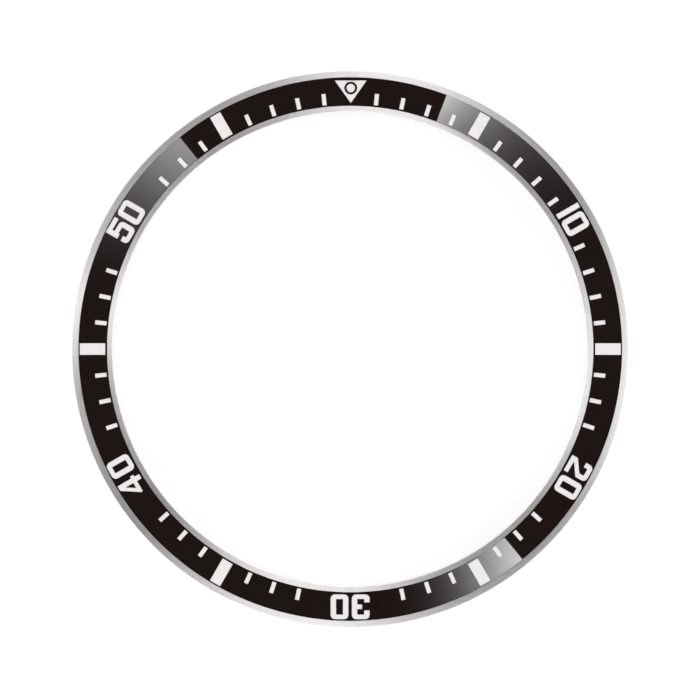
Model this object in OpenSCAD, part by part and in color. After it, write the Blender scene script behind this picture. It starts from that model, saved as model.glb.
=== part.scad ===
// Stick-on bumper ring with a sixty minute scale for a round smartwatch of the 46 mm class.
// Millimetres. The origin is the middle of the skirt's foot, +Z is up and zero minutes lies towards +Y.

/* [Ring body] */
// Diameter of the window that the display shows through
window_d = 39.3; // [36:0.1:44]
// Width of the bright rim round the window, seen from above
inner_rim_w = 0.43; // [0.35:0.01:0.9]
// Width of the channel that holds the scale insert
channel_w = 2.39; // [2.2:0.01:3.2]
// Width of the bright outer rim, seen from above
outer_rim_w = 0.53; // [0.4:0.01:1]
// Thickness of the skirt that hangs round the watch's bezel
skirt_t = 0.5; // [0.35:0.05:0.8]
// Height from the skirt's foot to the underside of the flange
skirt_h = 1.5; // [1.1:0.1:3]
// Thickness of the flange under the channel
flange_t = 0.45; // [0.3:0.05:1]
// How far both rims stand above the insert's face
rim_proud = 0.05; // [0.02:0.01:0.2]
// Radius that rounds the top of the outer rim
outer_round = 0.06; // [0.04:0.02:0.36]
// Radius that rounds the top of the rim at the window
inner_round = 0.06; // [0.04:0.02:0.32]
// Radius of the fillet where the skirt meets the flange
root_fillet = 0.3; // [0.1:0.05:0.4]
// Chamfer on the skirt's foot and on the window's lower edge
foot_chamfer = 0.1; // [0.04:0.02:0.16]

/* [Scale insert] */
// Thickness of the insert at its thin outer edge
insert_edge_t = 0.5; // [0.4:0.02:1]
// Slope of the insert's face, which falls from the window outwards
face_slope = 10; // [3:0.5:16]
// Clearance between the insert and each wall of the channel
insert_fit = 0.01; // [0.01:0.01:0.06]
// Chamfer round the insert's upper edges
insert_edge_break = 0.02; // [0.02:0.01:0.06]
// Thickness of the adhesive ring under the insert
insert_tape_t = 0.05; // [0.03:0.01:0.15]
// How far that adhesive ring stays back from the insert's edges
insert_tape_inset = 0.1; // [0.05:0.05:0.4]

/* [Marks] */
// Depth of the pockets that hold the white marks
engrave_depth = 0.2; // [0.08:0.01:0.3]
// Black border between the channel's inner wall and the marks
mark_foot_gap = 0.15; // [0.1:0.01:0.3]
// Black border between the channel's outer wall and the marks
mark_head_gap = 0.11; // [0.07:0.01:0.2]
// Width of a minute tick
tick_w = 0.355; // [0.2:0.005:0.6]
// Length of a minute tick
tick_len = 0.96; // [0.5:0.02:1.6]
// Width of a wide bar
bar_w = 0.967; // [0.6:0.001:1.4]
// Width of the zero triangle along its outer side
triangle_w = 2.65; // [2.3:0.05:3.2]
// Distance from the marks' outer limit to the triangle's outer side
triangle_head_gap = 0.16; // [0:0.005:0.24]
// Distance from the marks' inner limit to the triangle's tip
triangle_tip_gap = 0.08; // [0:0.02:0.16]
// Distance from the triangle's outer side in to the pip's centre
pip_drop = 0.63; // [0.6:0.01:0.72]
// Outer diameter of the black cup round the pip
cup_d = 1.07; // [0.8:0.01:1.1]
// Wall of the cup
cup_wall = 0.175; // [0.08:0.005:0.2]
// Thickness of the cup's floor
cup_floor = 0.06; // [0.04:0.01:0.12]
// Depth of the cup below the insert's face
cup_depth = 0.3; // [0.22:0.02:0.36]
// Clearance round the cup in its pocket, and round the pip in its cup
cup_fit = 0.01; // [0.005:0.005:0.03]

/* [Numerals] */
// Space between the numerals and the marks' inner and outer limits
numeral_inset = 0.03; // [0.01:0.005:0.1]
// Space between the two digits of a numeral
digit_gap = 0.27; // [0.15:0.01:0.5]
// Width of the digits 0, 3 and 5
digit_w = 1.48; // [1.3:0.02:1.8]
// Width of the digit 2
two_w = 1.46; // [1.3:0.02:1.8]
// Width of the digit 4
four_w = 1.56; // [1.5:0.02:1.9]
// Width of the digit 1
one_w = 0.45; // [0.3:0.01:0.7]
// Upright strokes of the digits 0, 3 and 5
stem_w = 0.46; // [0.3:0.01:0.6]
// Upright strokes of the digits 2 and 4
thin_stem_w = 0.42; // [0.3:0.01:0.54]
// Level strokes of the digits
stroke_h = 0.39; // [0.25:0.01:0.48]
// Radius of a digit's outer corners
corner_r = 0.37; // [0.1:0.01:0.45]
// Length of the hooks that end the digits 2 and 3 at the top
top_hook = 0.74; // [0.6:0.02:0.84]
// Length of the hooks that end the digits 3 and 5 at the foot
foot_hook = 0.67; // [0.6:0.01:0.72]
// Length of the short middle stroke of the digit 3
middle_tab = 0.4; // [0.2:0.01:0.5]
// Slot under the top stroke of the digit 5
five_slot = 0.2; // [0.1:0.01:0.22]
// Length of the left stroke of the digit 5
five_stem = 1.1; // [1:0.02:1.24]
// Height of the level stroke of the digit 4 above its foot
four_bar_z = 0.44; // [0.3:0.01:0.5]
// Thickness of the level stroke of the digit 4
four_bar_t = 0.35; // [0.25:0.01:0.48]
// Level width of the slanted stroke of the digit 4
four_slant_w = 0.38; // [0.25:0.01:0.45]
// Space left of the upright stroke of the digit 4
four_stem_x = 0.96; // [0.85:0.005:1]
// Distance from the left of the digit 4 to the start of its slanted stroke at the top
four_top_x = 0.93; // [0.7:0.005:0.95]
// Height at which the slanted stroke of the digit 2 starts on the left
two_foot_h = 0.54; // [0.45:0.01:0.7]
// Height at which the right side of the digit 2 bends into its slanted stroke
two_bend_h = 1.12; // [1.1:0.02:1.3]
// Least gap between a numeral and a minute tick, under which the tick is left out
tick_clear = 0.4; // [0.3:0.01:0.7]

/* [Adhesive] */
// Thickness of the foam tape that sticks the ring to the watch
mount_tape_t = 0.25; // [0.15:0.05:0.5]
// How far the foam tape stays back from the window
tape_window_gap = 0.2; // [0.1:0.05:0.6]
// How far the foam tape stays back from the fillet at the skirt's root
tape_root_gap = 0.1; // [0.05:0.05:0.4]
// Thickness of the release liner
liner_t = 0.08; // [0.05:0.01:0.15]

/* [Hidden] */
$fn = 180;

steel = [0.80, 0.79, 0.78];
black = [0.12, 0.09, 0.08];
white = [0.93, 0.91, 0.90];
foam = [0.35, 0.36, 0.38];
film = [0.86, 0.80, 0.62];

minutes = 60;
degrees_a_minute = 360 / minutes;
// Past a face that it has to cut through
past = 1;

// Radii, from the window outwards
window_r = window_d / 2;
channel_r_in = window_r + inner_rim_w;
channel_r_out = channel_r_in + channel_w;
ring_r = channel_r_out + outer_rim_w;
bore_r = ring_r - skirt_t;
insert_r_in = channel_r_in + insert_fit;
insert_r_out = channel_r_out - insert_fit;
mark_r_in = channel_r_in + mark_foot_gap;
mark_r_out = channel_r_out - mark_head_gap;
tape_r_in = window_r + tape_window_gap;
tape_r_out = bore_r - root_fillet - tape_root_gap;

// Heights, from the skirt's foot upwards
floor_z = skirt_h + flange_t;
insert_z = floor_z + insert_tape_t;
tape_z = skirt_h - mount_tape_t;
liner_z = tape_z - liner_t;

// Height of the insert's face at radius r
function face_z(r) = insert_z + insert_edge_t + (insert_r_out - r) * tan(face_slope);

outer_lip_z = face_z(channel_r_out) + rim_proud;
inner_lip_z = face_z(channel_r_in) + rim_proud;
above_z = inner_lip_z + past;

// The zero triangle and its pip
triangle_top = mark_r_out - triangle_head_gap;
pip_y = triangle_top - pip_drop;
cup_r = cup_d / 2;
pip_r = cup_r - cup_wall;
// How far the triangle and its pip stand clockwise of zero, as printed
triangle_shift = 0.045;

// The digits
numeral_y = mark_r_in + numeral_inset;
digit_h = mark_r_out - numeral_inset - numeral_y;
// The printed numerals aren't set evenly. For ten to fifty in turn: what is added to the space
// between the two digits, and how far the numeral stands clockwise of its minute
numeral_kerns = [-0.01, 0.04, 0, 0.11, -0.01];
numeral_shifts = [-0.02, 0.01, 0.01, 0.12, -0.13];

// Points of an arc of radius r about [x, y], from angle a to angle b
function arc(x, y, r, a, b, n = 6) =
    [for (i = [0:n]) let (t = a + (b - a) * i / n) [x + r * cos(t), y + r * sin(t)]];

module at_minute(m) {
    rotate([0, 0, -degrees_a_minute * m]) children();
}

// Plan outlines of the digits, with the foot on y = 0 and the left side on x = 0

module digit_0() {
    difference() {
        polygon(concat(
            arc(corner_r, corner_r, corner_r, 180, 270),
            arc(digit_w - corner_r, corner_r, corner_r, 270, 360),
            arc(digit_w - corner_r, digit_h - corner_r, corner_r, 0, 90),
            arc(corner_r, digit_h - corner_r, corner_r, 90, 180)
        ));
        translate([stem_w, stroke_h])
            square([digit_w - 2 * stem_w, digit_h - 2 * stroke_h]);
    }
}

module digit_1() {
    square([one_w, digit_h]);
}

module digit_2() {
    inner_bend_h = two_foot_h + two_bend_h - stroke_h;
    polygon(concat(
        [
            [0, 0],
            [two_w, 0],
            [two_w, stroke_h],
            [thin_stem_w, stroke_h],
            [two_w, two_bend_h]
        ],
        arc(two_w - corner_r, digit_h - corner_r, corner_r, 0, 90),
        arc(corner_r, digit_h - corner_r, corner_r, 90, 180),
        [
            [0, digit_h - top_hook],
            [thin_stem_w, digit_h - top_hook],
            [thin_stem_w, digit_h - stroke_h],
            [two_w - thin_stem_w, digit_h - stroke_h],
            [two_w - thin_stem_w, inner_bend_h],
            [0, two_foot_h]
        ]
    ));
}

module digit_3() {
    middle = digit_h / 2;
    tab_x = digit_w - stem_w - middle_tab;
    polygon(concat(
        arc(corner_r, corner_r, corner_r, 180, 270),
        arc(digit_w - corner_r, corner_r, corner_r, 270, 360),
        arc(digit_w - corner_r, digit_h - corner_r, corner_r, 0, 90),
        arc(corner_r, digit_h - corner_r, corner_r, 90, 180),
        [
            [0, digit_h - top_hook],
            [stem_w, digit_h - top_hook],
            [stem_w, digit_h - stroke_h],
            [digit_w - stem_w, digit_h - stroke_h],
            [digit_w - stem_w, middle + stroke_h / 2],
            [tab_x, middle + stroke_h / 2],
            [tab_x, middle - stroke_h / 2],
            [digit_w - stem_w, middle - stroke_h / 2],
            [digit_w - stem_w, stroke_h],
            [stem_w, stroke_h],
            [stem_w, foot_hook],
            [0, foot_hook]
        ]
    ));
}

module digit_4() {
    bar_top = four_bar_z + four_bar_t;
    tip_h = four_bar_z + four_bar_t / 2;
    rise = (digit_h - tip_h) / four_top_x;
    counter_x = (bar_top - tip_h) / rise + four_slant_w;
    difference() {
        polygon([
            [four_stem_x, 0],
            [four_stem_x + thin_stem_w, 0],
            [four_stem_x + thin_stem_w, four_bar_z],
            [four_w, four_bar_z],
            [four_w, bar_top],
            [four_stem_x + thin_stem_w, bar_top],
            [four_stem_x + thin_stem_w, digit_h],
            [four_top_x, digit_h],
            [0, tip_h],
            [0, four_bar_z],
            [four_stem_x, four_bar_z]
        ]);
        polygon([
            [counter_x, bar_top],
            [four_stem_x, bar_top],
            [four_stem_x, tip_h + (four_stem_x - four_slant_w) * rise]
        ]);
    }
}

module digit_5() {
    bowl_h = digit_h - stroke_h - five_slot;
    polygon(concat(
        [[0, digit_h], [0, digit_h - five_stem], [stem_w, digit_h - five_stem]],
        [[stem_w, bowl_h - stroke_h], [digit_w - stem_w, bowl_h - stroke_h]],
        [[digit_w - stem_w, stroke_h], [stem_w, stroke_h]],
        [[stem_w, foot_hook], [0, foot_hook]],
        arc(corner_r, corner_r, corner_r, 180, 270),
        arc(digit_w - corner_r, corner_r, corner_r, 270, 360),
        arc(digit_w - corner_r, bowl_h - corner_r, corner_r, 0, 90),
        [[stem_w, bowl_h], [stem_w, digit_h - stroke_h]],
        [[digit_w, digit_h - stroke_h], [digit_w, digit_h]]
    ));
}

// Width of a tens digit, the space after it, and the width of the whole numeral
function tens_w(tens) = tens == 1 ? one_w : tens == 2 ? two_w : tens == 4 ? four_w : digit_w;
function tens_gap(tens) = digit_gap + numeral_kerns[tens - 1];
function numeral_w(tens) = tens_w(tens) + tens_gap(tens) + digit_w;

module numeral_outline(tens) {
    left = numeral_shifts[tens - 1] - numeral_w(tens) / 2;
    at_minute(10 * tens) translate([left, numeral_y]) {
        if (tens == 1) digit_1();
        if (tens == 2) digit_2();
        if (tens == 3) digit_3();
        if (tens == 4) digit_4();
        if (tens == 5) digit_5();
        translate([tens_w(tens) + tens_gap(tens), 0]) digit_0();
    }
}

module bar_outline(m) {
    at_minute(m) translate([-bar_w / 2, mark_r_in - past]) square([bar_w, channel_w + 2 * past]);
}

module triangle_outline() {
    tip = mark_r_in + triangle_tip_gap;
    translate([triangle_shift, 0])
        polygon([[-triangle_w / 2, triangle_top], [0, tip], [triangle_w / 2, triangle_top]]);
}

module pip_outline(r) {
    translate([triangle_shift, pip_y]) circle(r);
}

// A tick stands at each minute that has no other mark, where it keeps clear of the numerals
function tick_gap(m, tens) =
    2 * mark_r_in * sin(abs(m - 10 * tens) * degrees_a_minute / 2) - (numeral_w(tens) + tick_w) / 2;
function has_tick(m) = m % 5 != 0 && min([for (tens = [1:5]) tick_gap(m, tens)]) > tick_clear;

module ticks_outline() {
    for (m = [1:minutes - 1]) {
        if (has_tick(m))
            at_minute(m) translate([-tick_w / 2, mark_r_in - past]) square([tick_w, tick_len + past]);
    }
}

// The plan outline that is passed in, as deep as the mark below the insert's sloping face
module sunk(depth, lift = 0) {
    intersection() {
        rotate_extrude() polygon([
            [mark_r_in, face_z(mark_r_in) - depth],
            [mark_r_out, face_z(mark_r_out) - depth],
            [mark_r_out, face_z(mark_r_out) + lift],
            [mark_r_in, face_z(mark_r_in) + lift]
        ]);
        linear_extrude(height = above_z) children();
    }
}

module flat_ring(r_in, r_out, z, t) {
    rotate_extrude() translate([r_in, z]) square([r_out - r_in, t]);
}

// The pieces

module ring_body() {
    color(steel) rotate_extrude() polygon(concat(
        [
            [bore_r, foot_chamfer],
            [bore_r + foot_chamfer, 0],
            [ring_r - foot_chamfer, 0],
            [ring_r, foot_chamfer]
        ],
        arc(ring_r - outer_round, outer_lip_z - outer_round, outer_round, 0, 90),
        [
            [channel_r_out, outer_lip_z],
            [channel_r_out, floor_z],
            [channel_r_in, floor_z],
            [channel_r_in, inner_lip_z]
        ],
        arc(window_r + inner_round, inner_lip_z - inner_round, inner_round, 90, 180),
        [
            [window_r, skirt_h + foot_chamfer],
            [window_r + foot_chamfer, skirt_h]
        ],
        arc(bore_r - root_fillet, skirt_h - root_fillet, root_fillet, 90, 0)
    ));
}

module scale_insert() {
    color(black) difference() {
        rotate_extrude() polygon([
            [insert_r_in, insert_z],
            [insert_r_out, insert_z],
            [insert_r_out, face_z(insert_r_out) - insert_edge_break],
            [insert_r_out - insert_edge_break, face_z(insert_r_out - insert_edge_break)],
            [insert_r_in + insert_edge_break, face_z(insert_r_in + insert_edge_break)],
            [insert_r_in, face_z(insert_r_in) - insert_edge_break]
        ]);
        sunk(engrave_depth, past) {
            ticks_outline();
            for (m = [5:10:55]) bar_outline(m);
            for (tens = [1:5]) numeral_outline(tens);
            triangle_outline();
        }
        sunk(cup_depth, past) pip_outline(cup_r);
    }
}

module insert_tape() {
    r_in = insert_r_in + insert_tape_inset;
    r_out = insert_r_out - insert_tape_inset;
    color(foam) flat_ring(r_in, r_out, floor_z, insert_tape_t);
}

module mounting_tape() {
    color(foam) flat_ring(tape_r_in, tape_r_out, tape_z, mount_tape_t);
}

module release_liner() {
    color(film) flat_ring(tape_r_in, tape_r_out, liner_z, liner_t);
}

module zero_triangle() {
    color(white) sunk(engrave_depth) difference() {
        triangle_outline();
        pip_outline(cup_r);
    }
}

module pip_cup() {
    color(black) difference() {
        sunk(cup_depth) pip_outline(cup_r - cup_fit);
        sunk(cup_depth - cup_floor, past) pip_outline(pip_r);
    }
}

module lume_pip() {
    color(white) sunk(cup_depth - cup_floor) pip_outline(pip_r - cup_fit);
}

module bar(m) {
    color(white) sunk(engrave_depth) bar_outline(m);
}

module numeral(tens) {
    color(white) sunk(engrave_depth) numeral_outline(tens);
}

module minute_ticks() {
    color(white) sunk(engrave_depth) ticks_outline();
}

ring_body();
scale_insert();
insert_tape();
mounting_tape();
release_liner();
zero_triangle();
pip_cup();
lume_pip();
bar(5);  // bar_05
bar(15);  // bar_15
bar(25);  // bar_25
bar(35);  // bar_35
bar(45);  // bar_45
bar(55);  // bar_55
numeral(1);  // numeral_10
numeral(2);  // numeral_20
numeral(3);  // numeral_30
numeral(4);  // numeral_40
numeral(5);  // numeral_50
minute_ticks();
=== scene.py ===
"""Dresses a stick-on watch bezel ring: turned steel, gloss black scale and white enamel marks."""

import math

import bpy
from bpy.props import FloatProperty, FloatVectorProperty, IntProperty, PointerProperty
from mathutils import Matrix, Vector
from mathutils.geometry import tessellate_polygon


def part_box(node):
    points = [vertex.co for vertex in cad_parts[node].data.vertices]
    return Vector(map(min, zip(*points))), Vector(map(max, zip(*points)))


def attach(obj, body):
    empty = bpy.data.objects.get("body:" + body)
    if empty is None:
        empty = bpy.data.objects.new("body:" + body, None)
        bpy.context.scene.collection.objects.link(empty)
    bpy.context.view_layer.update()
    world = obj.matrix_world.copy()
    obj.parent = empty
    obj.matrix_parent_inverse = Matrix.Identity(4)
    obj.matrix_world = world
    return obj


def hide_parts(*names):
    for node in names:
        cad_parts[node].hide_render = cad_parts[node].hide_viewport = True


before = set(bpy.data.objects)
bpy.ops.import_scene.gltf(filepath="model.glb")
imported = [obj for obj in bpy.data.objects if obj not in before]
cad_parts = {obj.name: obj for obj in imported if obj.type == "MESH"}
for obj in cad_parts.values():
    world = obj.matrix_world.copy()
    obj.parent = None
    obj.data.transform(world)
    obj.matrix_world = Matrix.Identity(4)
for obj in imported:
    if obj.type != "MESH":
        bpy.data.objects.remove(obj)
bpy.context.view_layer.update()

bl_info = {
    "name": "Watch bezel ring",
    "version": (1, 0, 0),
    "blender": (4, 5, 0),
    "location": "View3D > Sidebar > Bezel ring",
    "description": "Builds a turned bezel ring with a sixty minute scale around its packed frame",
    "category": "Object",
}

MM = 0.001
MINUTES = 60
# Minutes from one large mark to the next, and from one numeral to the next
MARK_STEP = 5
NUMERAL_STEP = 10
BAR_MINUTES = range(MARK_STEP, MINUTES, NUMERAL_STEP)
RING = "ring"
LINER = "liner"

RING_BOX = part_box("ring_body")
TAPE_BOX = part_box("mounting_tape")
LINER_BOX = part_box("release_liner")

# Edges that bend by more than this many degrees are shaded sharp
SHARP_ABOVE = 32
CUP_SHARP_ABOVE = 50
# Distance past each rounded edge of a section to a point that keeps the flat faces' shading true
HOLD = 0.008 * MM
# How far the cutters for the pockets stand above the face
CUTTER_ABOVE = 0.5 * MM
CIRCLE_STEPS = 64
ARC_STEPS = 8
SOFT_STEPS = 3
CROWN_STEPS = 6
CARD_STEPS = 48
# Points in a block of enamel: up (its foot, its rounded edge and a holding layer), across, along
BLOCK_LAYERS = SOFT_STEPS + 3
BLOCK_ACROSS = 3
BLOCK_ALONG = 5
# How far inside the rounded edge of enamel its holding layer lies, as a share of that round
HOLD_SHARE = 0.4
# The middle of the cup's broken edges, as a share of their size, and the pip's crown in soft edges
CHAMFER_BACK = 0.3
CROWN_DEEP = 2.0
# Dark flags: their number, steps round and up, the cosines between which they thicken, the cover
# in the thin parts between them, and the share of their height in which they fade out
FLAGS = 4
FLAG_STEPS = 144
FLAG_ROWS = 8
FLAG_SIDES = (-0.3, 0.9)
FLAG_THIN = 0.6
FLAG_FADE = (0.5, 1.0)
WHITE_LIGHT = (1.0, 1.0, 1.0, 1.0)
# The range that most of a noise fills, and that of two noises added up
NOISE = (0.3, 0.7)
TWO_NOISES = (0.7, 1.3)
# How nodes are laid out in their editor
NODE_WIDE = 200
NODE_HIGH = 260
NODES_A_ROW = 8


def length(name, description, millimetres, least=0.0):
    """A size in metres, given in millimetres."""
    return FloatProperty(
        name=name,
        description=description,
        default=millimetres * MM,
        min=least,
        precision=5,
        unit="LENGTH",
        subtype="DISTANCE",
    )


def lengths(name, description, *millimetres):
    """Several sizes in metres, given in millimetres."""
    return FloatVectorProperty(
        name=name,
        description=description,
        default=[value * MM for value in millimetres],
        size=len(millimetres),
        precision=5,
        unit="LENGTH",
    )


def share(name, description, default):
    return FloatProperty(
        name=name, description=description, default=default, min=0.0, max=1.0, subtype="FACTOR"
    )


def colour(name, description, *values):
    return FloatVectorProperty(
        name=name, description=description, default=values, min=0.0, max=1.0, subtype="COLOR"
    )


def angle(name, description, degrees):
    return FloatProperty(
        name=name,
        description=description,
        default=math.radians(degrees),
        unit="ROTATION",
        subtype="ANGLE",
    )


def number(name, description, default, least):
    return IntProperty(name=name, description=description, default=default, min=least)


class BezelBodySizes(bpy.types.PropertyGroup):
    """Sizes of the turned ring"""

    ring_radius: length("Ring radius", "Outside of the ring", RING_BOX[1].y / MM)
    window_radius: length("Window radius", "Inside of the ring", 19.65)
    inner_rim: length("Inner rim", "Width of the bright rim round the window", 0.43)
    channel: length("Channel", "Width of the channel for the scale insert", 2.39)
    skirt: length("Skirt", "Thickness of the skirt", 0.5)
    skirt_height: length("Skirt height", "Foot to the underside of the flange", 1.5)
    flange: length("Flange", "Thickness of the flange under the channel", 0.45)
    rim_proud: length("Rims proud", "How far the rims stand above the scale", 0.05)
    rim_slope: angle("Rim slope", "Fall of the rims' tops outwards", 5)
    outer_round: length("Outer round", "Round on the outer rim", 0.06)
    inner_round: length("Inner round", "Round on the rim at the window", 0.04)
    root_round: length("Root round", "Fillet where the skirt meets the flange", 0.3)
    foot_round: length("Foot round", "Round on the lower edges", 0.09)
    lip_round: length("Lip round", "Broken edges along the channel", 0.008)
    tape_step: length("Tape step", "Window to the inside of the tape and the liner", 0.2)
    foam_edge: length("Foam edge", "Round on the foam tape's lower edges", 0.03)
    film_edge: length("Film edge", "Round on the liner's edges", 0.015)
    segments: number("Segments", "Steps round the ring", 360, 24)
    round_steps: number("Round steps", "Steps in each rounded edge", 6, 1)


class BezelScaleSizes(bpy.types.PropertyGroup):
    """Sizes of the scale insert and its marks"""

    edge_thickness: length("Edge thickness", "Insert at its outer edge", 0.5)
    slope: angle("Slope", "Fall of the face from the window outwards", 10)
    fit: length("Fit", "Clearance between insert and channel", 0.01)
    tape: length("Insert tape", "Thickness of the adhesive under the insert", 0.05)
    edge_round: length("Edge round", "Round on the insert's upper edges", 0.006)
    pocket: length("Pocket depth", "Depth of the pockets for the marks", 0.2)
    foot_gap: length("Inner border", "Black border inside the marks", 0.15)
    head_gap: length("Outer border", "Black border outside the marks", 0.11)
    tick_width: length("Tick width", "Width of a minute tick", 0.355)
    tick_length: length("Tick length", "Length of a minute tick", 0.96)
    bar_width: length("Bar width", "Width of a wide bar", 0.967)
    triangle_width: length("Triangle width", "Outer side of the zero triangle", 2.65)
    triangle_gap: length("Triangle gap", "Marks' outer limit to the triangle", 0.16)
    tip_gap: length("Tip gap", "Marks' inner limit to the triangle's tip", 0.08)
    triangle_shift: length("Triangle shift", "Triangle and pip clockwise of zero", 0.045)
    pip_drop: length("Pip drop", "Triangle's outer side to the pip's centre", 0.63)
    cup_radius: length("Cup radius", "Outside of the cup round the pip", 0.535)
    cup_wall: length("Cup wall", "Wall of the cup", 0.175)
    cup_floor: length("Cup floor", "Floor of the cup", 0.06)
    cup_depth: length("Cup depth", "Depth of the cup below the face", 0.3)
    cup_fit: length("Cup fit", "Clearance round the cup and round the pip", 0.01)
    tick_clear: length("Tick clearance", "Least gap between numeral and tick", 0.4)
    cup_edge: length("Cup edge", "Broken edges of the cup", 0.008)
    soft_edge: length("Soft edge", "Round where the enamel meets its pocket", 0.02)
    fill_below: length("Fill below", "How far the enamel lies below the face", 0.006)


class BezelDigitSizes(bpy.types.PropertyGroup):
    """Sizes of the numerals' strokes"""

    inset: length("Inset", "Numerals to the marks' limits", 0.03)
    gap: length("Gap", "Space between two digits", 0.27)
    width: length("Width", "Digits 0, 3 and 5", 1.48)
    two_width: length("Two width", "Digit 2", 1.46)
    four_width: length("Four width", "Digit 4", 1.56)
    one_width: length("One width", "Digit 1", 0.45)
    stem: length("Stem", "Upright strokes of 0, 3 and 5", 0.46)
    thin_stem: length("Thin stem", "Upright strokes of 2 and 4", 0.42)
    stroke: length("Stroke", "Level strokes", 0.39)
    corner: length("Corner", "Round on the outer corners", 0.37)
    top_hook: length("Top hook", "Hooks at the top of 2 and 3", 0.74)
    foot_hook: length("Foot hook", "Hooks at the foot of 3 and 5", 0.67)
    middle_tab: length("Middle tab", "Middle stroke of 3", 0.4)
    five_slot: length("Five slot", "Slot under the top stroke of 5", 0.2)
    five_stem: length("Five stem", "Left stroke of 5", 1.1)
    four_bar: length("Four bar", "Height of the level stroke of 4", 0.44)
    four_level: length("Four level", "Thickness of the level stroke of 4", 0.35)
    four_slant: length("Four slant", "Slanted stroke of 4", 0.38)
    four_stem: length("Four stem", "Space left of the upright stroke of 4", 0.96)
    four_top: length("Four top", "Left of 4 to its slanted stroke at the top", 0.93)
    two_foot: length("Two foot", "Start of the slanted stroke of 2", 0.54)
    two_bend: length("Two bend", "Bend at the right of 2", 1.12)
    # One value each for 10, 20, 30, 40 and 50
    kerns: lengths("Kerns", "Added to the space between two digits", -0.01, 0.04, 0.0, 0.11, -0.01)
    shifts: lengths("Shifts", "Numerals clockwise of their minutes", -0.02, 0.01, 0.01, 0.12, -0.13)


class BezelFinishes(bpy.types.PropertyGroup):
    """Colours and finishes"""

    steel: colour("Steel", "Turned steel", 0.90, 0.878, 0.866)
    steel_rough: share("Steel roughness", "Satin of the turned steel", 0.47)
    steel_grain: share("Steel grain", "How far the turning streaks the sheen", 0.8)
    black: colour("Black", "Gloss black lacquer", 0.0116, 0.0064, 0.0054)
    black_rough: share("Black roughness", "Gloss of the lacquer", 0.012)
    white: colour("White", "Enamel in the marks", 0.766, 0.737, 0.724)
    white_rough: share("White roughness", "Satin of the enamel", 0.36)
    foam: colour("Foam", "Acrylic foam tape", 0.10, 0.105, 0.115)
    film: colour("Liner", "Waxed liner film", 0.71, 0.60, 0.34)


class BezelStudio(bpy.types.PropertyGroup):
    """Camera and light"""

    lens: FloatProperty(
        name="Lens", description="Focal length in millimetres", default=400.0, unit="CAMERA"
    )
    camera_height: length("Camera height", "Camera above the foot", 645.3)
    offset_x: length("Offset X", "Camera beside the ring's axis", -0.019, least=-1.0)
    offset_y: length("Offset Y", "Camera below the ring's axis", -0.078, least=-1.0)
    floor_half: length("Floor", "Half the floor's side", 600.0)
    floor_tone: share("Floor tone", "How much light the floor throws back", 0.8)
    floor_dim: share("Floor seen", "How far lamps and shadows show on the floor", 0.34)
    glow_low: share("Glow", "The floor's own light beside the ring", 0.74)
    glow_near: length("Glow near", "Radius at which the floor starts to get lighter", 80.0)
    glow_far: length("Glow far", "Radius from which the floor is white", 350.0)
    lamp_power: FloatProperty(
        name="Lamp power", description="Power of each soft lamp", default=0.7, unit="POWER"
    )
    lamp_side: length("Lamp side", "Side of each soft lamp", 220.0)
    lamp_far: length("Lamp distance", "Lamps to the ring", 500.0)
    lamp_tilt: angle("Lamp tilt", "Lamps from straight overhead", 48)
    fill_tilt: angle("Fill tilt", "Fill lamp from straight overhead", 68)
    card_height: length("Card height", "Reflector cards above the floor", 300.0)
    card_inner: length("Card inner radius", "Inner edge of the cards", 130.0)
    card_outer: length("Card outer radius", "Outer edge of the cards", 154.0)
    lean_from: length("Lean from", "Radius mirrored by the scale's inner edge", 139.2)
    lean_to: length("Lean to", "Radius mirrored by the scale's outer edge", 142.5)
    flag_radius: length("Flag radius", "Dark flags to the ring's axis", 450.0)
    flag_height: length("Flag height", "Top of the dark flags", 300.0)
    flag_level: share("Flag tone", "Tone of the dark flags", 0.02)
    dark_level: share("Overhead", "Tone of the room straight overhead", 0.03)
    pale_level: share("Walls", "Tone of the room's walls", 1.0)
    wall_top: share("Wall top", "How high a line of sight meets pale wall only", 0.22)
    ceiling: share("Ceiling", "How high a line of sight meets dark ceiling only", 0.72)


GROUPS = {
    "bezel_body": BezelBodySizes,
    "bezel_scale": BezelScaleSizes,
    "bezel_digits": BezelDigitSizes,
    "bezel_finishes": BezelFinishes,
    "bezel_studio": BezelStudio,
}


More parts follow.
